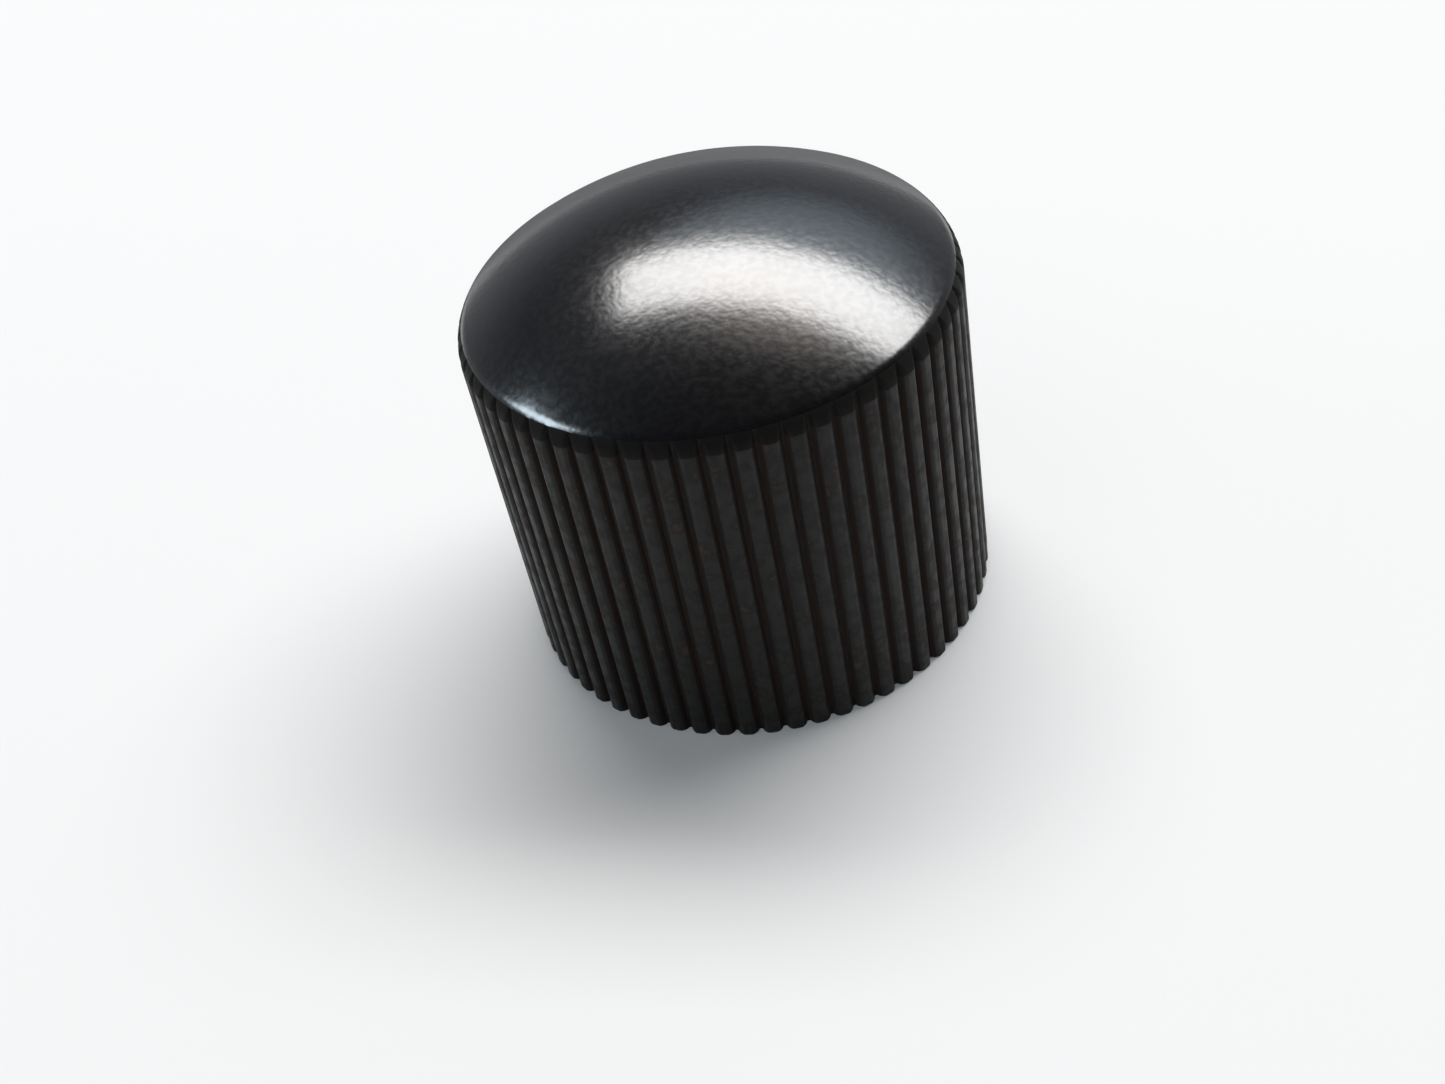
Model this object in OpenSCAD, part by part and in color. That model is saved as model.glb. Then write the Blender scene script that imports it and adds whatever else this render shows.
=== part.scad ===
// Push-on control knob: one black moulding with a domed top, a ribbed side and a hollow
// underside, and a steel band that closes its split boss on the shaft.
// Millimetres. The rim stands on z = 0, and +Z is the knob's axis, up through the dome.

/* [Outside] */
// Diameter over the ribs
knob_d = 18; // [16:0.5:30]
// Height at which the side and the dome would meet in a sharp corner
side_h = 13.7; // [12:0.1:24]
// Rise of the dome above that corner
dome_rise = 3; // [1.5:0.1:5]
// Radius of the rounded shoulder that takes the corner's place
shoulder_r = 1.1; // [0.4:0.1:2]

/* [Ribs] */
// Number of ribs round the side
rib_count = 62; // [30:1:72]
// Height of a rib above the groove beside it
rib_h = 0.25; // [0.1:0.05:0.4]
// Width of the land along the top of a rib
rib_land = 0.3; // [0.1:0.05:0.4]
// Width of the groove floor between two ribs
groove_w = 0.12; // [0.05:0.01:0.2]

/* [Shell] */
// Thickness of the skirt behind the grooves
skirt_t = 1.5; // [1:0.1:2]
// Thickness of the domed top
top_t = 1.8; // [1:0.1:2.5]
// Draft of the moulded inner walls, in degrees
draft = 0.5; // [0:0.25:1.5]
// Chamfer along the inner edge of the rim
rim_chamfer = 0.3; // [0.1:0.05:0.6]

/* [Shaft socket] */
// Diameter of the shaft that the knob is pushed on to
shaft_d = 6; // [5:0.05:6.5]
// Gap all round between the shaft and the socket, before the band closes the boss
shaft_gap = 0.02; // [0.01:0.01:0.1]
// Plastic left between the end of the socket and the top of the dome
socket_roof = 2.8; // [2:0.1:4]
// Chamfer that leads the shaft in
lead_in = 0.4; // [0.2:0.05:0.8]

/* [Boss] */
// Thickness of the boss round the socket
boss_t = 1.8; // [1.4:0.1:2.2]
// How far the end of the boss lies inside the rim, to clear the panel nut
boss_recess = 5; // [4:0.1:6]
// Width of the two slits that let the boss spring
slit_w = 0.8; // [0.5:0.1:1.2]
// Length of the slits, from the end of the boss
slit_len = 6; // [4:0.1:7]
// Number of webs that stiffen the root of the boss
web_count = 4; // [2:2:8]
// Thickness of a web
web_t = 1; // [0.8:0.1:1.4]
// Height of a web where it meets the boss, below the top of the slits
web_overlap = 0.5; // [0:0.1:1.5]

/* [Spring band] */
// Thickness of the strip that the band is bent from
band_t = 0.4; // [0.2:0.05:0.6]
// Width of the strip
band_w = 2.5; // [1.5:0.1:3]
// Gap between the ends of the strip
band_split = 1.6; // [1:0.1:3]
// Depth of the groove that the band sits in
seat_depth = 0.3; // [0.2:0.05:0.5]
// Distance from the end of the boss to the groove
seat_z = 1; // [0.6:0.1:1.5]
// Clearance between the band and its groove, on every side
band_gap = 0.03; // [0.01:0.01:0.1]

/* [Hidden] */
$fn = 96;
// How far a cut runs past the face that it opens
cut_past = 0.5;
// Fineness of a rib's rounded flank
rib_fn = 32;

knob_r = knob_d / 2;
knob_h = side_h + dome_rise;
root_r = knob_r - rib_h;

// The dome is a cap of a ball, and the shoulder a smaller ball's path that touches dome and side
dome_r = (knob_r ^ 2 + dome_rise ^ 2) / (2 * dome_rise);
dome_z = knob_h - dome_r;
shoulder_x = knob_r - shoulder_r;
shoulder_up = sqrt((dome_r - shoulder_r) ^ 2 - shoulder_x ^ 2);
shoulder_z = dome_z + shoulder_up;

// A rib is part of a circle through the two edges of its land and the two edges of its foot
rib_foot = 2 * PI * root_r / rib_count - groove_w;
rib_drop = ((rib_foot ^ 2 - rib_land ^ 2) / 4 + rib_h ^ 2) / (2 * rib_h);
rib_r = sqrt(rib_drop ^ 2 + (rib_land / 2) ^ 2);

rim_inner_r = root_r - skirt_t;
socket_r = shaft_d / 2 + shaft_gap;
socket_end = knob_h - socket_roof;
boss_r = socket_r + boss_t;
slit_top = boss_recess + slit_len;
seat_r = boss_r - seat_depth;

// Half of the dome's section, cut at the line where the shoulder takes over
module dome_slice() {
    reach = 2 * dome_r / (dome_r - shoulder_r);
    intersection() {
        circle(r = dome_r);
        polygon([[0, 0], reach * [shoulder_x, shoulder_up], [0, reach * dome_r]]);
    }
}

// Half of the section through dome, shoulder and side, with the hollow left out
module outer_section() {
    intersection() {
        square([knob_r, knob_h]);
        union() {
            square([knob_r, shoulder_z]);
            translate([shoulder_x, shoulder_z]) circle(r = shoulder_r);
            translate([0, dome_z]) dome_slice();
        }
    }
}

// Outline of the ribbed side, seen along the axis
module ribbed_outline() {
    circle(r = root_r);
    for (i = [0 : rib_count - 1])
        rotate(i * 360 / rib_count) translate([knob_r - rib_drop, 0]) circle(r = rib_r, $fn = rib_fn);
}

// Half of the section of the hollow: drafted walls up to a roof that follows the dome
module hollow_section() {
    roof_r = rim_inner_r - knob_h * tan(draft);
    intersection() {
        polygon([[0, 0], [rim_inner_r, 0], [roof_r, knob_h], [0, knob_h]]);
        union() {
            translate([0, dome_z]) circle(r = dome_r - top_t);
            square([rim_inner_r, max(dome_z, cut_past)]);
        }
    }
}

// Boss that carries the socket: it gets thicker towards the roof, as its draft asks
module boss() {
    rise = knob_h - boss_recess;
    translate([0, 0, boss_recess]) cylinder(r1 = boss_r, r2 = boss_r + rise * tan(draft), h = rise);
}

// Webs from the root of the boss to the skirt, set on either side of the slits
module webs() {
    web_z = slit_top - web_overlap;
    for (i = [0 : web_count - 1])
        rotate((i + 0.5) * 360 / web_count)
            translate([0, -web_t / 2, web_z]) cube([knob_r, web_t, knob_h - web_z]);
}

// Space under the dome, with the boss and its webs left standing
module hollow() {
    difference() {
        rotate_extrude() hollow_section();
        boss();
        webs();
    }
    translate([0, 0, -cut_past])
        cylinder(r1 = rim_inner_r + rim_chamfer + cut_past, r2 = rim_inner_r, h = rim_chamfer + cut_past);
}

// Blind round socket for the shaft, with a chamfered mouth
module socket() {
    translate([0, 0, boss_recess - cut_past]) {
        cylinder(r = socket_r, h = socket_end - boss_recess + cut_past);
        cylinder(r1 = socket_r + lead_in + cut_past, r2 = socket_r, h = lead_in + cut_past);
    }
}

// Two slits, on opposite sides of the boss
module slits() {
    reach = boss_r + slit_len * tan(draft) + cut_past;
    translate([-slit_w / 2, -reach, boss_recess - cut_past])
        cube([slit_w, 2 * reach, slit_len + cut_past]);
}

// Groove round the boss for the spring band
module band_seat() {
    translate([0, 0, boss_recess + seat_z])
        difference() {
            cylinder(r = boss_r + cut_past, h = band_w + 2 * band_gap);
            cylinder(r = seat_r, h = band_w + 2 * band_gap);
        }
}

// Black moulding: ribbed side, domed top, hollow underside and split boss
module knob_body() {
    color([0.07, 0.07, 0.08])
        difference() {
            intersection() {
                linear_extrude(knob_h) ribbed_outline();
                rotate_extrude() outer_section();
            }
            hollow();
            socket();
            slits();
            band_seat();
        }
}

// Open band of spring steel, snapped into its groove round the split boss
module spring_band() {
    inner_r = seat_r + band_gap;
    color([0.62, 0.62, 0.64])
        translate([0, 0, boss_recess + seat_z + band_gap])
            difference() {
                cylinder(r = inner_r + band_t, h = band_w);
                translate([0, 0, -cut_past]) cylinder(r = inner_r, h = band_w + 2 * cut_past);
                translate([0, -band_split / 2, -cut_past])
                    cube([boss_r + band_t + cut_past, band_split, band_w + 2 * cut_past]);
            }
}

knob_body();
spring_band();
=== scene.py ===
# %% [markdown]
# A push-on control knob.
# The real knob is one black moulding: a domed top with a fine grain, a rounded shoulder, 62 ribs to grip
# and a hollow underside whose split boss is closed on the shaft by a band of spring steel. The solids of
# both pieces are loaded first. Everything after that is in metres and in the solids' own frame, with the
# rim standing on z = 0 and +Z up through the dome, so a piece made from the same sizes needs no fitting.

# %% Load the solids and keep their box
import math

import bmesh
import bpy
from mathutils import Matrix, Vector


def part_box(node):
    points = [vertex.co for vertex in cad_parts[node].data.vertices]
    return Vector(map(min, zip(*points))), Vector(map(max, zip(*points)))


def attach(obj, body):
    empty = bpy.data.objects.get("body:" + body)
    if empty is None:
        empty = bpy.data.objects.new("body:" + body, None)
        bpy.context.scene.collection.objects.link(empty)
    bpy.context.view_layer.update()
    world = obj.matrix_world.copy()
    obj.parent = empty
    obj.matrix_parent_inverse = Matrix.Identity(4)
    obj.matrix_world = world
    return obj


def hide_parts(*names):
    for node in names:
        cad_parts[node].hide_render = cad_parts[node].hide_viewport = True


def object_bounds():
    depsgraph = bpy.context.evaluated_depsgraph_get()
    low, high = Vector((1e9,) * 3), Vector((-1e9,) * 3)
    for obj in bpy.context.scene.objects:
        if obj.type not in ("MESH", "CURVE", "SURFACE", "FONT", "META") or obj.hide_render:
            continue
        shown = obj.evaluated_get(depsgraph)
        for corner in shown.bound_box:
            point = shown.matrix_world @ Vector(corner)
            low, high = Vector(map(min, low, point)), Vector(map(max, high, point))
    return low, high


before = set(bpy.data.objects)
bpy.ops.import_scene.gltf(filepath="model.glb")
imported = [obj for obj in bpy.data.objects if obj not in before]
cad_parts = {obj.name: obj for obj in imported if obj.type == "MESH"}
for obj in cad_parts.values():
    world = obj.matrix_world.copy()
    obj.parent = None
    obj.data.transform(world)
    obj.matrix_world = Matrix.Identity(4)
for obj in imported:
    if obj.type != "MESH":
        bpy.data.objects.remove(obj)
cad_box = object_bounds()
MM = 0.001
cad_box_mm = [[round(number / MM, 2) for number in corner] for corner in cad_box]
print("solids:", sorted(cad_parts), "box in mm:", cad_box_mm)

# %% [markdown]
# The camera comes first, because every later choice is judged through it.
# It looks down on the knob from close by, at a little over forty degrees, and is turned on its own axis,
# so the knob leans to the left in the picture. A camera could be aimed by hand with a Track To constraint,
# but that holds it upright. Here three plain turns are multiplied: the lean first, then the look down,
# then a small turn round the knob that brings the ribs to where the picture has them.

# %% Camera
look_down = math.radians(41.7)
lean = math.radians(12.28)
turn_round = math.radians(-2.4)
eye = Vector((-1.34, -53.11, 49.0)) * MM
sensor_w = 36
focal_px = 1800
picture_w_px = 1445

camera_data = bpy.data.cameras.new("camera")
camera_data.sensor_width = sensor_w
camera_data.lens = focal_px / picture_w_px * sensor_w
camera_data.clip_start = 1 * MM
camera = bpy.data.objects.new("camera", camera_data)
bpy.context.scene.collection.objects.link(camera)
round_knob = Matrix.Rotation(turn_round, 4, "Z")
aim = Matrix.Rotation(math.pi / 2 - look_down, 4, "X") @ Matrix.Rotation(-lean, 4, "Z")
camera.matrix_world = round_knob @ Matrix.Translation(eye) @ aim
bpy.context.scene.camera = camera
camera_mm = [round(number / MM, 1) for number in camera.matrix_world.translation]
print("camera at", camera_mm, "mm, lens", round(camera_data.lens, 1), "mm")

# %% [markdown]
# The knob's outside sizes.
# The height and the width come from the solid itself. The rest are the moulding's own sizes: the dome is a
# cap of a ball, the shoulder is a small arc that touches both the dome and the side, and a rib is part of
# a circle that passes through the edges of its land and of its foot.

# %% Outside sizes
low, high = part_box("knob_body")
knob_r = (high.x - low.x) / 2
knob_h = high.z
dome_rise = 3 * MM
shoulder_r = 1.1 * MM
rib_count = 62
rib_h = 0.25 * MM
rib_land = 0.3 * MM
groove_w = 0.12 * MM

pitch = 2 * math.pi / rib_count
root_r = knob_r - rib_h
dome_r = (knob_r ** 2 + dome_rise ** 2) / (2 * dome_rise)
dome_z = knob_h - dome_r
shoulder_x = knob_r - shoulder_r
shoulder_z = dome_z + math.sqrt((dome_r - shoulder_r) ** 2 - shoulder_x ** 2)
rib_foot = pitch * root_r - groove_w
rib_drop = ((rib_foot ** 2 - rib_land ** 2) / 4 + rib_h ** 2) / (2 * rib_h)
rib_r = math.hypot(rib_drop, rib_land / 2)
rib_axis = knob_r - rib_drop


def rib_radius(angle):
    """Distance from the axis to the ribbed side, at an angle from the middle of a rib."""
    across = rib_axis * math.sin(angle)
    flank = 0.0
    if abs(across) < rib_r:
        flank = rib_axis * math.cos(angle) + math.sqrt(rib_r ** 2 - across ** 2)
    return min(max(flank, root_r), knob_r)


print("knob", round(2 * knob_r / MM, 2), "mm wide and", round(knob_h / MM, 2), "mm high")
print("rib pitch", round(pitch * knob_r / MM, 3), "mm")

# %% [markdown]
# The moulding starts as one rib's width of its rim.
# A mould maker cuts one groove and indexes the blank round for the next, and the mesh is made the same
# way. A circle is added with sixteen points to each rib, all but one rib's width of it is deleted, and the
# points that are left are scaled towards the axis until they lie on the rib. A whole ring of ribs could be
# shaped at once, but a strip of seventeen points is quick to work on and easy to check.

# %% One rib's width of the rim
points_per_rib = 16
rim_break = 0.08 * MM
loose = pitch / points_per_rib / 4


def clear_selection():
    """Deselect every object, so that the next operator acts on the new piece alone."""
    bpy.ops.object.select_all(action="DESELECT")


def edit_mesh():
    """The mesh that is open in edit mode."""
    return bmesh.from_edit_mesh(bpy.context.object.data)


def select_points(mesh, keep):
    """Select the points of the open mesh that the test keeps, and nothing else."""
    for point in mesh.verts:
        point.select_set(keep(point))
    mesh.select_flush_mode()
    bmesh.update_edit_mesh(bpy.context.object.data)


def angle_of(point):
    """Angle of a point round the axis, from +X."""
    return math.atan2(point.co.y, point.co.x)


def pull_to(radius_at):
    """Scale each selected point towards the axis, to the distance that it should have there."""
    mesh = edit_mesh()
    row = [point for point in mesh.verts if point.select]
    for point in row:
        ratio = radius_at(angle_of(point)) / math.hypot(point.co.x, point.co.y)
        select_points(mesh, lambda other: other is point)
        bpy.ops.transform.resize(value=(ratio, ratio, 1), center_override=(0, 0, point.co.z))
    select_points(mesh, lambda other: other in row)


clear_selection()
bpy.ops.mesh.primitive_circle_add(vertices=rib_count * points_per_rib, radius=knob_r)
knob = bpy.context.object
knob.name = "knob_moulding"
bpy.ops.object.mode_set(mode="EDIT")
bpy.ops.mesh.select_mode(type="VERT")
select_points(edit_mesh(), lambda point: abs(angle_of(point)) > pitch / 2 + loose)
bpy.ops.mesh.delete(type="VERT")
select_points(edit_mesh(), lambda point: True)
pull_to(lambda angle: rib_radius(angle) - rim_break)
print("points across one rib:", len(edit_mesh().verts))

# %% [markdown]
# The side and the shoulder are extruded from that line.
# The lower edge is broken by a small round, the side runs straight up, and then the row follows the
# shoulder inwards. A point stays on its rib until the shoulder comes further in than the rib does, so the
# ribs run out on the shoulder as they do on the moulding: the crest first and the groove last. The rows of
# the shoulder are put where that happens for each point of the rib. A boolean could cut the same run-out,
# but it would leave long thin faces that shade badly.

# %% Side and shoulder


def next_row(height, radius_at):
    """Extrude the selected edge to a height, and pull its points to their distances from the axis."""
    start = next(point.co.z for point in edit_mesh().verts if point.select)
    bpy.ops.mesh.extrude_region_move(TRANSFORM_OT_translate={"value": (0, 0, height - start)})
    pull_to(radius_at)


round_rows = 3
for step in range(1, round_rows + 1):
    bend = math.pi / 2 * step / round_rows
    inset = rim_break * (1 - math.sin(bend))
    next_row(rim_break * (1 - math.cos(bend)), lambda angle: rib_radius(angle) - inset)
next_row(shoulder_z, rib_radius)

half_places = range(points_per_rib // 2 + 1)
run_out = sorted({round(rib_radius(place * pitch / points_per_rib) / MM, 6) for place in half_places})
touch_up = math.pi / 2 - math.asin(shoulder_x / (dome_r - shoulder_r))
turns = [math.acos((radius * MM - shoulder_x) / shoulder_r) for radius in reversed(run_out[:-1])]
turns += [turns[-1] + (touch_up - turns[-1]) * share for share in (1 / 3, 2 / 3, 1)]
for bend in turns:
    reach = shoulder_x + shoulder_r * math.cos(bend)
    next_row(shoulder_z + shoulder_r * math.sin(bend), lambda angle: min(rib_radius(angle), reach))
print("shoulder rows:", len(turns), "ending at", round(reach / MM, 3), "mm from the axis")

# %% [markdown]
# The dome closes the strip over the top.
# It is a cap of a ball, so each row lies on a circle of that ball, and the last row is scaled to nothing
# at the pole. The dome could be a sphere primitive cut by a plane, but then its points wouldn't meet those
# of the shoulder.

# %% Dome
dome_rows = 22
dome_edge = math.pi / 2 - touch_up
for step in range(1, dome_rows + 1):
    polar = dome_edge * (1 - step / dome_rows)
    reach = dome_r * math.sin(polar)
    next_row(dome_z + dome_r * math.cos(polar), lambda angle: reach)
print("top of the dome at", round(max(point.co.z for point in edit_mesh().verts) / MM, 3), "mm")

# %% [markdown]
# The sizes of the underside.
# None of it shows while the knob stands, so these are the sizes of a usual knob for a 6 mm shaft. The
# inner walls are drafted by half a degree, which lets the core of the mould slide out. The roof follows
# the dome at an even thickness, because a thick spot in a moulding sinks as it cools. A flat roof would be
# plainer, but it would have just such a thick spot in its middle.

# %% Sizes of the underside
skirt_t = 1.5 * MM
top_t = 1.8 * MM
draft = math.radians(0.5)
rim_chamfer = 0.3 * MM
socket_r = 3.02 * MM
socket_roof = 2.8 * MM
lead_in = 0.4 * MM
boss_t = 1.8 * MM
boss_z = 5 * MM
seat_depth = 0.3 * MM
seat_z = 1 * MM
band_w = 2.5 * MM
band_gap = 0.03 * MM

rim_inner_r = root_r - skirt_t
boss_r = socket_r + boss_t
roof_ball = dome_r - top_t
seat_low = boss_z + seat_z
seat_high = seat_low + band_w + 2 * band_gap


def skirt_wall(height):
    """Radius of the drafted inner wall of the skirt."""
    return rim_inner_r - height * math.tan(draft)


def boss_wall(height):
    """Radius of the drafted outside of the boss."""
    return boss_r + (height - boss_z) * math.tan(draft)


def roof_height(radius):
    """Height of the hollow's roof, at a distance from the axis."""
    return dome_z + math.sqrt(roof_ball ** 2 - radius ** 2)


print("rim", round(2 * rim_inner_r / MM, 2), "mm wide inside, boss", round(2 * boss_r / MM, 2), "mm wide")

# %% [markdown]
# The underside is the other half of the same strip.
# From the rim, the row goes in under the skirt: a chamfer, a drafted wall, a roof that follows the dome at
# an even thickness, then down the outside of the boss, in and out of the groove for the band, across the
# end of the boss, past the chamfer that leads the shaft in, and up the socket to its closed end. It is the
# path that the mould's core has, and drawing it as a path keeps every wall joined to the next.

# %% Rim, hollow, boss and socket
wall_top = roof_height(skirt_wall(knob_h - top_t))
boss_top = roof_height(boss_wall(knob_h - top_t))
roof_rows = 8
at_rim = rim_break / 100
roof_reach = [
    skirt_wall(wall_top) + (boss_wall(boss_top) - skirt_wall(wall_top)) * step / roof_rows
    for step in range(roof_rows + 1)
]
core_path = [(rim_inner_r + rim_chamfer, 0.0), (skirt_wall(rim_chamfer), rim_chamfer)]
core_path += [(radius, roof_height(radius)) for radius in roof_reach]
core_path += [(boss_wall(seat_high), seat_high), (boss_r - seat_depth, seat_high)]
core_path += [(boss_r - seat_depth, seat_low), (boss_wall(seat_low), seat_low), (boss_r, boss_z)]
core_path += [(socket_r + lead_in, boss_z), (socket_r, boss_z + lead_in)]
core_path += [(socket_r, knob_h - socket_roof), (0.0, knob_h - socket_roof)]

select_points(edit_mesh(), lambda point: abs(point.co.z) < at_rim)
for radius, height in core_path:
    next_row(height, lambda angle: radius)
print("rows along the core:", len(core_path), "points in the strip:", len(edit_mesh().verts))

# %% [markdown]
# The strip is turned round the axis, once for each rib.
# Spin with duplicates makes the other 61 copies, as an indexing head would. The copies meet edge to edge,
# so merging the points that coincide closes the skin, the pole and the end of the socket. After that the
# normals are recalculated, because a spun mesh can come out inside out.

# %% All the ribs
merge_gap = 0.0002 * MM
bpy.ops.mesh.select_all(action="SELECT")
bpy.ops.mesh.spin(
    steps=rib_count - 1, angle=2 * math.pi - pitch, dupli=True, center=(0, 0, 0), axis=(0, 0, 1)
)
bpy.ops.mesh.select_all(action="SELECT")
bpy.ops.mesh.remove_doubles(threshold=merge_gap)
bpy.ops.mesh.normals_make_consistent(inside=False)
open_edges = sum(not edge.is_manifold for edge in edit_mesh().edges)
bpy.ops.object.mode_set(mode="OBJECT")
print("faces:", len(knob.data.polygons), "open edges:", open_edges)

# %% [markdown]
# Webs and slits make the boss work.
# Four webs stiffen the root of the boss, and two slits let its lower part spring open when a shaft is
# pushed in. Each is a box that a Boolean modifier adds or cuts, because it crosses the rows of the strip
# at an angle. The webs stand at forty-five degrees to the slits, and their ends are sunk into the walls
# that they join.

# %% Webs and slits
slit_w = 0.8 * MM
slit_len = 6 * MM
web_count = 4
web_t = 1 * MM
web_overlap = 0.5 * MM
past = 0.5 * MM


def box_piece(name, corner, opposite):
    """A box between two corners, with its place in its mesh."""
    clear_selection()
    size = Vector(opposite) - Vector(corner)
    bpy.ops.mesh.primitive_cube_add(size=1, location=Vector(corner) + size / 2, scale=size)
    bpy.context.object.name = name
    bpy.ops.object.transform_apply(location=True, rotation=True, scale=True)
    return bpy.context.object


def apply_boolean(piece, tool, operation):
    """Add or cut a tool piece with a Boolean modifier, apply it and remove the tool."""
    cut = piece.modifiers.new("cut", "BOOLEAN")
    cut.operation = operation
    cut.solver = "EXACT"
    cut.object = tool
    clear_selection()
    bpy.context.view_layer.objects.active = piece
    bpy.ops.object.modifier_apply(modifier=cut.name)
    bpy.data.objects.remove(tool)


slit_top = boss_z + slit_len
web_low = slit_top - web_overlap
web_inner = (socket_r + boss_r) / 2
web_outer = rim_inner_r + skirt_t / 2
web_high = (roof_height(boss_wall(boss_top)) + dome_z + math.sqrt(dome_r ** 2 - web_outer ** 2)) / 2
for step in range(web_count):
    web = box_piece("web", (web_inner, -web_t / 2, web_low), (web_outer, web_t / 2, web_high))
    web.matrix_world = Matrix.Rotation((step + 0.5) * 2 * math.pi / web_count, 4, "Z")
    apply_boolean(knob, web, "UNION")
slit_reach = boss_wall(slit_top) + past
slit = box_piece("slit", (-slit_w / 2, -slit_reach, boss_z - past), (slit_w / 2, slit_reach, slit_top))
apply_boolean(knob, slit, "DIFFERENCE")
print("faces with webs and slits:", len(knob.data.polygons))

# %% [markdown]
# Shading follows the moulding's edges.
# The dome and the shoulder are smooth, while the foot of each rib, the rim and the ends of the boss are
# true corners. Those corners could be marked one by one, but smooth by angle finds them: it keeps every
# edge that is sharper than the limit, and rounds the rest.

# %% Smooth the skin
smooth_below = math.radians(38)


def smooth_skin(piece):
    """Shade a piece smoothly, apart from its true corners."""
    clear_selection()
    piece.select_set(True)
    bpy.context.view_layer.objects.active = piece
    bpy.ops.object.shade_smooth_by_angle(angle=smooth_below)


smooth_skin(knob)
print("triangles:", sum(len(face.vertices) - 2 for face in knob.data.polygons))

# %% [markdown]
# The spring band is a strip of steel bent into an open ring.
# Its section is a thin rectangle with rolled edges. An open cylinder with a Solidify modifier would have
# the same thickness, but sharp edges. So the section is drawn as a plane, its corners are bevelled, and it
# is spun right round the axis. Then a box cuts the gap between the two ends.

# %% Spring band
band_t = 0.4 * MM
band_split = 1.6 * MM
band_edge = 0.12 * MM
band_merge_gap = 0.001 * MM
band_steps = 120
band_in = boss_r - seat_depth + band_gap
band_low = seat_low + band_gap

clear_selection()
bpy.ops.mesh.primitive_plane_add(
    size=1, location=(band_in + band_t / 2, 0, band_low + band_w / 2), rotation=(math.pi / 2, 0, 0)
)
band = bpy.context.object
band.name = "spring_band_strip"
bpy.ops.transform.resize(value=(band_t, 1, band_w))
bpy.ops.object.transform_apply(location=True, rotation=True, scale=True)
bpy.ops.object.mode_set(mode="EDIT")
bpy.ops.mesh.select_all(action="SELECT")
bpy.ops.mesh.bevel(offset=band_edge, segments=4, affect="VERTICES")
bpy.ops.mesh.select_all(action="SELECT")
bpy.ops.mesh.delete(type="ONLY_FACE")
bpy.ops.mesh.select_all(action="SELECT")
bpy.ops.mesh.spin(steps=band_steps, angle=2 * math.pi, center=(0, 0, 0), axis=(0, 0, 1))
bpy.ops.mesh.select_all(action="SELECT")
bpy.ops.mesh.remove_doubles(threshold=band_merge_gap)
bpy.ops.mesh.normals_make_consistent(inside=False)
bpy.ops.object.mode_set(mode="OBJECT")
split_far = (band_in + band_t + past, band_split / 2, band_low + band_w + past)
split = box_piece("split", (0, -band_split / 2, band_low - past), split_far)
apply_boolean(band, split, "DIFFERENCE")
smooth_skin(band)
print("band faces:", len(band.data.polygons))

# %% [markdown]
# The spring band is bright rolled strip.
# Its rolling marks are a fine noise in both its colour and its gloss. A picture of steel could be laid on
# it instead, but a noise needs no file and has no seam. The four helpers lay the nodes that all the
# finishes have in common. The noise reads the piece's own coordinates, so a finish stays in place from
# every side, and a range of roughness or of tint is given as a pair.

# %% Finish of the spring band


def new_finish(name):
    """A material with its shader, its nodes and its links."""
    material = bpy.data.materials.new(name)
    material.use_nodes = True
    tree = material.node_tree
    return material, tree.nodes["Principled BSDF"], tree.nodes, tree.links


def object_noise(nodes, links, per_mm, detail):
    """Noise on the piece's own coordinates, with its fineness given in cells to the millimetre."""
    place = nodes.new("ShaderNodeTexCoord")
    noise = nodes.new("ShaderNodeTexNoise")
    noise.inputs["Scale"].default_value = per_mm / MM
    noise.inputs["Detail"].default_value = detail
    links.new(place.outputs["Object"], noise.inputs["Vector"])
    return noise.outputs["Fac"]


def spread(nodes, links, value, span, results):
    """Map a span of a value smoothly to a span of results."""
    stretch = nodes.new("ShaderNodeMapRange")
    stretch.interpolation_type = "SMOOTHSTEP"
    for name, number in zip(("From Min", "From Max", "To Min", "To Max"), (*span, *results)):
        stretch.inputs[name].default_value = number
    links.new(value, stretch.inputs["Value"])
    return stretch.outputs["Result"]


def tint_between(nodes, links, value, tints):
    """A colour between two, picked by a value from 0 to 1."""
    ramp = nodes.new("ShaderNodeValToRGB")
    for stop, tint in zip(ramp.color_ramp.elements, tints):
        stop.color = (*tint, 1)
    links.new(value, ramp.inputs["Fac"])
    return ramp.outputs["Color"]


mid_noise = (0.3, 0.7)
rolling_per_mm = 6
steel_tints = ((0.46, 0.46, 0.47), (0.62, 0.62, 0.63))
steel_roughness = (0.22, 0.4)


def spring_steel():
    """Bright rolled steel of the band."""
    material, shader, nodes, links = new_finish("bright_spring_steel")
    shader.inputs["Metallic"].default_value = 1
    marks = object_noise(nodes, links, rolling_per_mm, detail=3)
    links.new(tint_between(nodes, links, marks, steel_tints), shader.inputs["Base Color"])
    links.new(spread(nodes, links, marks, mid_noise, steel_roughness), shader.inputs["Roughness"])
    return material


steel_finish = spring_steel()
print(steel_finish.name, "has", len(steel_finish.node_tree.nodes), "nodes")

# %% [markdown]
# The inside of the moulding is matt.
# The core of a mould is seldom polished, so the hollow is matt and a shade lighter than the outside, and a
# shallow bump stands for the marks of the tool that cut the core. It is the first of the moulding's five
# finishes, and each has a material of its own. One material with masks would do, but how strongly a zone
# mirrors is a plain number, and such a number is best set on a shader of its own.

# %% Finish of the inside
inside_tints = ((0.012, 0.012, 0.012), (0.022, 0.021, 0.021))
inside_roughness = (0.5, 0.66)
shade_per_mm = 0.9
haze_per_mm = 1.5
tool_marks_per_mm = 12
tool_mark_depth = 0.01 * MM


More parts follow.
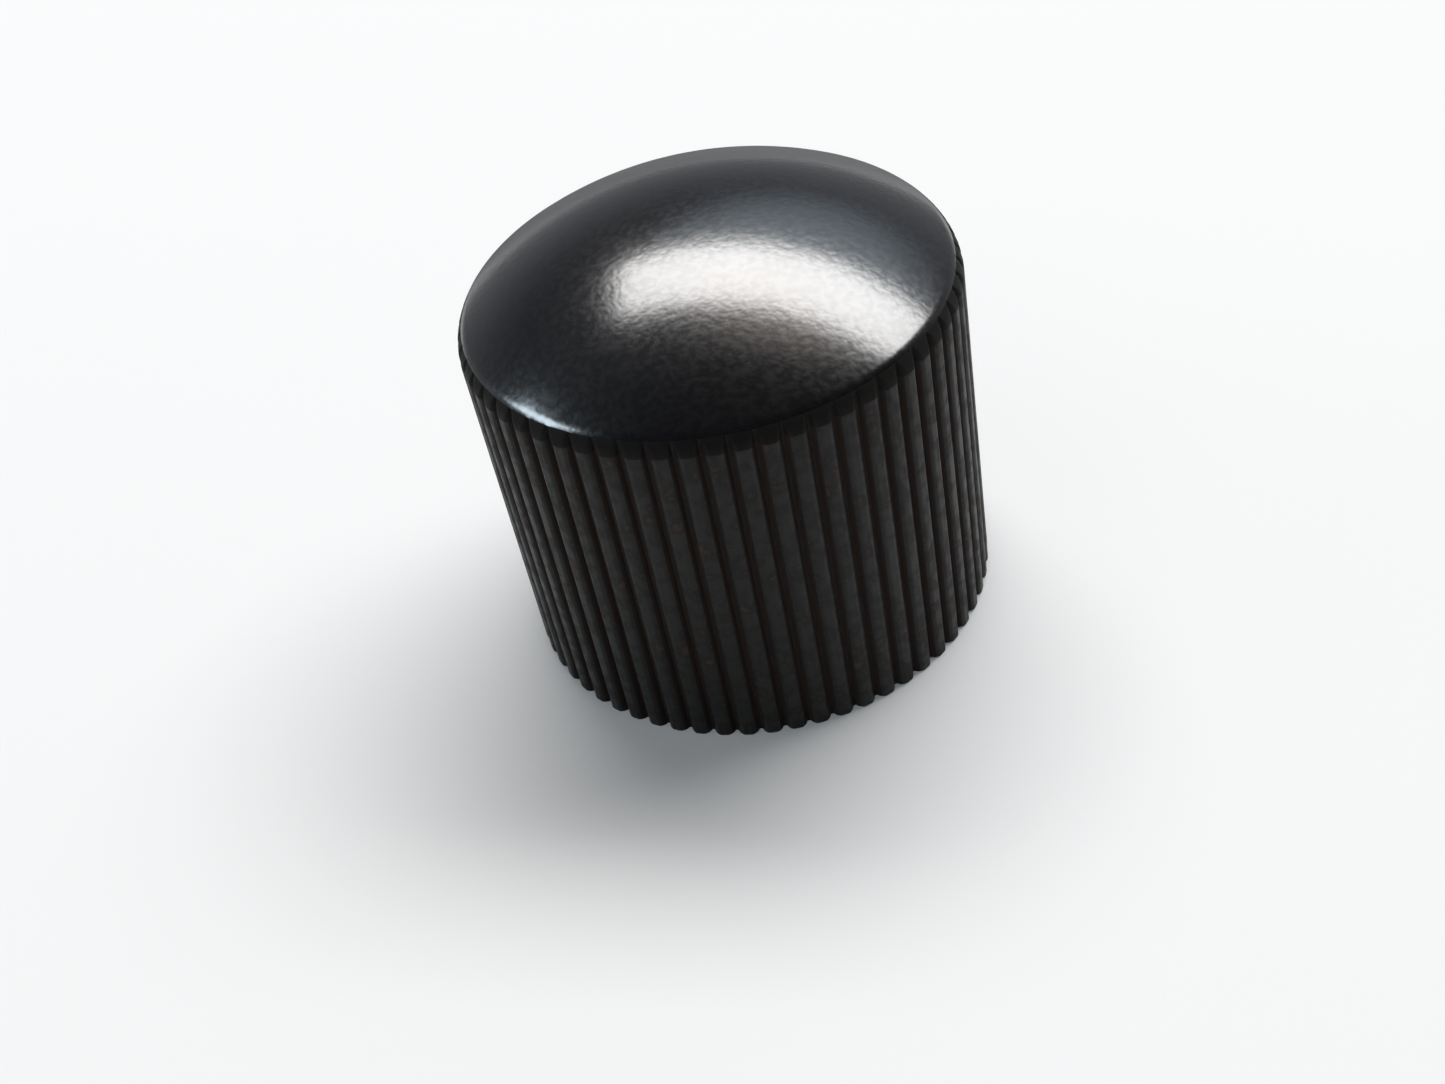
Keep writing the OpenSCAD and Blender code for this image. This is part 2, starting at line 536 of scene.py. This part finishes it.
def bump_from(nodes, links, value, depth):
    """A normal that is bumped by a value, to a depth."""
    bump = nodes.new("ShaderNodeBump")
    bump.inputs["Distance"].default_value = depth
    links.new(value, bump.inputs["Height"])
    return bump.outputs["Normal"]


def moulded_inside():
    """Matt black of the hollow, the boss and the rim."""
    material, shader, nodes, links = new_finish("matt_black_inside")
    shader.inputs["IOR"].default_value = 1.5
    shade = object_noise(nodes, links, shade_per_mm, detail=4)
    links.new(tint_between(nodes, links, shade, inside_tints), shader.inputs["Base Color"])
    haze = object_noise(nodes, links, haze_per_mm, detail=3)
    links.new(spread(nodes, links, haze, mid_noise, inside_roughness), shader.inputs["Roughness"])
    tool_marks = object_noise(nodes, links, tool_marks_per_mm, detail=2)
    links.new(bump_from(nodes, links, tool_marks, tool_mark_depth), shader.inputs["Normal"])
    return material


inside_finish = moulded_inside()
print(inside_finish.name, "has tool marks", round(tool_mark_depth / MM, 3), "mm deep")

# %% [markdown]
# The dome is black with a half-gloss.
# Its grain is a quarter of a millimetre wide and a few thousandths deep. That is too shallow to feel, but
# it breaks up the edge of a highlight, so it is a bump that also stirs the gloss. Seen along its surface,
# a grained moulding loses its mirror, which is why the roughness rises where the surface slants away. The
# colour is nearly even: old black plastic only shows faint clouds.

# %% Finish of the domed top
grain_per_mm = 4
grain_depth = 0.005 * MM
grain_span = (0.35, 0.65)
dome_roughness = (0.18, 0.22)
slant_span = (0.6, 1.0)
slant_roughness = (0, 0.8)
clouds_per_mm = 0.5
dome_tints = ((0.003, 0.003, 0.0035), (0.006, 0.006, 0.007))


def larger_of(nodes, links, one, other):
    """The larger of two values."""
    pick = nodes.new("ShaderNodeMath")
    pick.operation = "MAXIMUM"
    links.new(one, pick.inputs[0])
    links.new(other, pick.inputs[1])
    return pick.outputs["Value"]


def domed_top():
    """Grained half-gloss black of the dome and the upper shoulder."""
    material, shader, nodes, links = new_finish("grained_black_dome")
    shader.inputs["IOR"].default_value = 1.62
    shader.inputs["Specular IOR Level"].default_value = 1.0
    clouds = object_noise(nodes, links, clouds_per_mm, detail=4)
    links.new(tint_between(nodes, links, clouds, dome_tints), shader.inputs["Base Color"])
    grain = object_noise(nodes, links, grain_per_mm, detail=1)
    speckle = spread(nodes, links, grain, grain_span, dome_roughness)
    slant = nodes.new("ShaderNodeLayerWeight")
    haze = spread(nodes, links, slant.outputs["Facing"], slant_span, slant_roughness)
    links.new(larger_of(nodes, links, speckle, haze), shader.inputs["Roughness"])
    links.new(bump_from(nodes, links, grain, grain_depth), shader.inputs["Normal"])
    return material


dome_finish = domed_top()
print(dome_finish.name, "has a grain", 1 / grain_per_mm, "mm wide,", round(grain_depth / MM, 4), "mm deep")

# %% [markdown]
# The ribs are worn dull by fingers.
# Their lands keep a faint sheen with specks of brown dust on it. The specks are the peaks of a noise:
# where it rises above a level, the colour turns brown and the sheen goes. Dust could be modelled as
# grains, but at this size it only shows as colour.

# %% Finish of the ribs
wear_per_mm = 1.2
ribs_tints = ((0.004, 0.004, 0.004), (0.009, 0.0085, 0.008))
dust_per_mm = 1.8
dust_span = (0.56, 0.74)
dust_tint = (0.035, 0.022, 0.016)
sheen_span = (0.4, 0.65)
ribs_roughness = (0.46, 0.66)
scuffs_per_mm = 8
scuff_depth = 0.01 * MM


def ribbed_side():
    """Dull black of the ribs, with specks of dust."""
    material, shader, nodes, links = new_finish("dull_black_ribs")
    shader.inputs["IOR"].default_value = 1.34
    wear = object_noise(nodes, links, wear_per_mm, detail=4)
    dust = object_noise(nodes, links, dust_per_mm, detail=5)
    dusty = nodes.new("ShaderNodeMix")
    dusty.data_type = "RGBA"
    dusty.inputs["B"].default_value = (*dust_tint, 1)
    links.new(tint_between(nodes, links, wear, ribs_tints), dusty.inputs["A"])
    links.new(spread(nodes, links, dust, dust_span, (0, 1)), dusty.inputs["Factor"])
    links.new(dusty.outputs["Result"], shader.inputs["Base Color"])
    links.new(spread(nodes, links, dust, sheen_span, ribs_roughness), shader.inputs["Roughness"])
    scuffs = object_noise(nodes, links, scuffs_per_mm, detail=2)
    links.new(bump_from(nodes, links, scuffs, scuff_depth), shader.inputs["Normal"])
    return material


ribs_finish = ribbed_side()
print(ribs_finish.name, "has dust where the noise is over", dust_span[0])

# %% [markdown]
# The grooves are dusty, and the shoulder above them carries painted shade.
# Dust stays in the grooves, where no finger reaches it, and makes them matt and a little brown. On the
# shoulder, where the ribs run out, a narrow band has no dust and is matt, nearly black and a weak mirror:
# that is painted shade for the dark band that the shoulder shows there. Both mirror less than the ribs do.
# A mask could dull the ribs' own material there, but a lower index of refraction is the plainest way to
# weaken a mirror, so each has its own.

# %% Finishes of the grooves and of the run-out
matt_per_mm = 1.5
groove_tints = ((0.008, 0.0065, 0.0055), (0.024, 0.016, 0.012))
groove_roughness = (0.65, 0.85)
# Painted shade: the run-out's near-black tint and weak mirror stand in for a dark reflection on the
# shoulder.
run_out_painted_shade_tints = ((0.004, 0.0038, 0.0036), (0.011, 0.0095, 0.0085))
run_out_roughness = (0.6, 0.75)


def matt_black(name, tints, roughness, ior, detail):
    """A matt black with one noise for both its colour and its gloss."""
    material, shader, nodes, links = new_finish(name)
    shader.inputs["IOR"].default_value = ior
    shade = object_noise(nodes, links, matt_per_mm, detail)
    links.new(tint_between(nodes, links, shade, tints), shader.inputs["Base Color"])
    links.new(spread(nodes, links, shade, mid_noise, roughness), shader.inputs["Roughness"])
    return material


grooves_finish = matt_black("dusty_black_grooves", groove_tints, groove_roughness, ior=1.26, detail=5)
# The run-out finish is painted shade for the dark band on the shoulder.
run_out_finish = matt_black("matt_black_run_out_painted_shade", run_out_painted_shade_tints, run_out_roughness, ior=1.24, detail=3)
print(grooves_finish.name, "and", run_out_finish.name, "are at least", min(run_out_roughness), "rough")

# %% [markdown]
# Each face takes the finish of its place.
# The inside is what lies under the dome's roof and within the skirt, and the rim that the knob stands on.
# The dome begins where the grooves have run out on the shoulder, and the run-out begins a little above the
# start of the shoulder. A groove reaches from its floor part of the way up the rounded flank of a rib. The
# faces are picked by their places, as they would be by hand with a box or circle select.

# %% Share out the finishes
RIBS, GROOVES, RUN_OUT, DOME, INSIDE = range(5)
land_share = 0.45
run_out_from = 0.1
groove_reach = knob_r - land_share * rib_h
run_out_z = shoulder_z + run_out_from * shoulder_r
ribs_top = shoulder_z + math.sqrt(shoulder_r ** 2 - (root_r - shoulder_x) ** 2)


def finish_of(face):
    """Number of the finish that a face of the moulding has."""
    reach = math.hypot(face.center.x, face.center.y)
    under_roof = math.hypot(reach, face.center.z - dome_z) < roof_ball + top_t / 2
    in_skirt = reach < rim_inner_r + rim_chamfer
    on_rim = face.center.z < rim_break / 4
    if on_rim or (under_roof and in_skirt):
        return INSIDE
    if face.center.z > ribs_top:
        return DOME
    if face.center.z > run_out_z:
        return RUN_OUT
    return GROOVES if reach < groove_reach else RIBS


knob.data.materials.clear()
for finish in (ribs_finish, grooves_finish, run_out_finish, dome_finish, inside_finish):
    knob.data.materials.append(finish)
for face in knob.data.polygons:
    face.material_index = finish_of(face)
band.data.materials.clear()
band.data.materials.append(steel_finish)
for number, material in enumerate(knob.data.materials):
    print(material.name, "on", sum(face.material_index == number for face in knob.data.polygons), "faces")

# %% [markdown]
# The knob stands on a sheet of white paper.
# The paper is a plane whose colour is white round the knob and turns grey further off: painted shade, as
# paper darkens where the light falls away. The grey also keeps the black dome black, because its far edge
# mirrors the paper behind it.

# %% Paper
paper_size = 3.0
white_to = 0.085
grey_from = 0.2
# The grey is painted shade for the light that falls away from the knob.
paper_white_and_painted_shade = ((0.76, 0.76, 0.76), (0.3, 0.3, 0.3))

clear_selection()
bpy.ops.mesh.primitive_plane_add(size=paper_size, location=(0, 0, 0))
paper = bpy.context.object
paper.name = "paper"


def white_paper():
    """Paper whose colour turns from white to a painted grey shade with the distance from the knob's axis.
    """
    material, shader, nodes, links = new_finish("white_paper")
    shader.inputs["Roughness"].default_value = 0.9
    place = nodes.new("ShaderNodeTexCoord")
    away = nodes.new("ShaderNodeVectorMath")
    away.operation = "LENGTH"
    links.new(place.outputs["Object"], away.inputs[0])
    far = spread(nodes, links, away.outputs["Value"], (white_to, grey_from), (0, 1))
    links.new(tint_between(nodes, links, far, paper_white_and_painted_shade), shader.inputs["Base Color"])
    return material


paper.data.materials.append(white_paper())
print("paper is white to", round(white_to / MM), "mm from the axis")

# %% [markdown]
# Three lamps light the paper and the knob.
# A long window stands behind the knob and to its right, so the shadow falls to the lower left and the dome
# shows one broad highlight that runs off the shoulder. A small cool lamp on the left makes the short glint
# at the front of the shoulder. The fill only lifts the shadow: it is hidden from mirrors, because a black
# dome would show it as a grey veil. Neither of these two casts a shadow, so the paper shows the window's
# shadow alone. A lamp could be aimed with a Track To constraint, but the window is also rolled, so each
# lamp gets its three axes as a matrix.

# %% Lamps
lamp_distance = 1.0


def soft_lamp(name, azimuth, elevation, roll, size, power, colour):
    """A rectangular lamp that faces the knob. Angles are in degrees, and azimuth 90 is +Y."""
    data = bpy.data.lights.new(name, "AREA")
    data.shape = "RECTANGLE"
    data.size, data.size_y = size
    data.energy = power
    data.color = colour
    lamp = bpy.data.objects.new(name, data)
    bpy.context.scene.collection.objects.link(lamp)
    around, up = math.radians(azimuth), math.radians(elevation)
    towards = Vector((math.cos(up) * math.cos(around), math.cos(up) * math.sin(around), math.sin(up)))
    leftwards = Vector((-math.sin(around), math.cos(around), 0))
    facing = Matrix((leftwards, towards.cross(leftwards), towards)).transposed().to_4x4()
    rolled = Matrix.Rotation(math.radians(roll), 4, "Z")
    lamp.matrix_world = Matrix.Translation(lamp_distance * towards) @ facing @ rolled
    return lamp


window = soft_lamp(
    "window", azimuth=53, elevation=59, roll=15, size=(1.43, 0.39), power=13.0, colour=(1.0, 0.985, 0.97)
)
glint_lamp = soft_lamp(
    "glint_lamp", azimuth=173, elevation=32, roll=0, size=(0.45, 0.25), power=2.8, colour=(0.75, 0.9, 1.0)
)
fill = soft_lamp(
    "fill", azimuth=-120, elevation=60, roll=0, size=(1.2, 1.2), power=1.8, colour=(1.0, 0.96, 0.92)
)
fill.visible_glossy = False
for lamp in (glint_lamp, fill):
    lamp.data.use_shadow = False
print("lamps:", [(lamp.name, round(lamp.data.energy, 2)) for lamp in (window, glint_lamp, fill)])

# %% [markdown]
# The room is dim.
# A black dome mirrors whatever is round it, so the room is darkest in front and overhead, and paler behind
# the knob and along the horizon. A picture of a room could be wrapped round the scene, but a few ramps on
# the direction are enough for a dome that blurs what it mirrors.

# %% Room
room_heights = (0.05, 0.55)
room_tints = ((0.26, 0.27, 0.29), (0.07, 0.075, 0.085))
horizon_heights = (0.03, 0.08)
horizon_strength = (1.1, 0)
front_to_back = (-0.3, 0.5)
back_strength = (0.15, 1)

world = bpy.data.worlds.new("room")
bpy.context.scene.world = world
world.use_nodes = True
sky, join = world.node_tree.nodes, world.node_tree.links
direction = sky.new("ShaderNodeTexCoord").outputs["Generated"]
part = sky.new("ShaderNodeSeparateXYZ")
join.new(direction, part.inputs["Vector"])

room = sky["Background"]
height = spread(sky, join, part.outputs["Z"], room_heights, (0, 1))
horizon = spread(sky, join, part.outputs["Z"], horizon_heights, horizon_strength)
behind = spread(sky, join, part.outputs["Y"], front_to_back, back_strength)
join.new(tint_between(sky, join, height, room_tints), room.inputs["Color"])
join.new(larger_of(sky, join, horizon, behind), room.inputs["Strength"])
bpy.context.scene.view_settings.view_transform = "Standard"
print("room strength from", back_strength[0], "in front to", horizon_strength[0], "along the horizon")

# %% [markdown]
# The window glows.
# Round the window, and more below it than above, the room is lit by it: warm above, where the light comes
# off the ceiling, and cool below, where it comes from the sky. That glow gives the highlight its soft,
# faintly coloured border. It could be a larger and weaker lamp, but a lamp has a hard edge, and a second
# background that fades with the angle from the window has none.

# %% Glow round the window
glow_drop = 0.2
glow_span = (0.81, 0.97)
glow_strength = (0, 0.85)
ceiling_heights = (0.7, 0.9)
glow_tints = ((0.72, 0.87, 1.0), (1.0, 0.86, 0.77))

glow = sky.new("ShaderNodeBackground")
near_window = sky.new("ShaderNodeVectorMath")
near_window.operation = "DOT_PRODUCT"
glow_from = window.matrix_world.translation - Vector((0, 0, glow_drop))
near_window.inputs[1].default_value = glow_from.normalized()
join.new(direction, near_window.inputs[0])
ceiling = spread(sky, join, part.outputs["Z"], ceiling_heights, (0, 1))
join.new(tint_between(sky, join, ceiling, glow_tints), glow.inputs["Color"])
join.new(spread(sky, join, near_window.outputs["Value"], glow_span, glow_strength), glow.inputs["Strength"])

both = sky.new("ShaderNodeAddShader")
join.new(room.outputs["Background"], both.inputs[0])
join.new(glow.outputs["Background"], both.inputs[1])
join.new(both.outputs["Shader"], sky["World Output"].inputs["Surface"])
print("glow reaches", round(math.degrees(math.acos(glow_span[0]))), "degrees from its middle")

# %% [markdown]
# The pieces join the frame.
# Each one rides on the knob's only body and stands in for its solid.

# %% Join the frame
for piece, node, slot in ((knob, "knob_body", "black_plastic"), (band, "spring_band", "spring_steel")):
    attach(piece, "root")
    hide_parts(node)
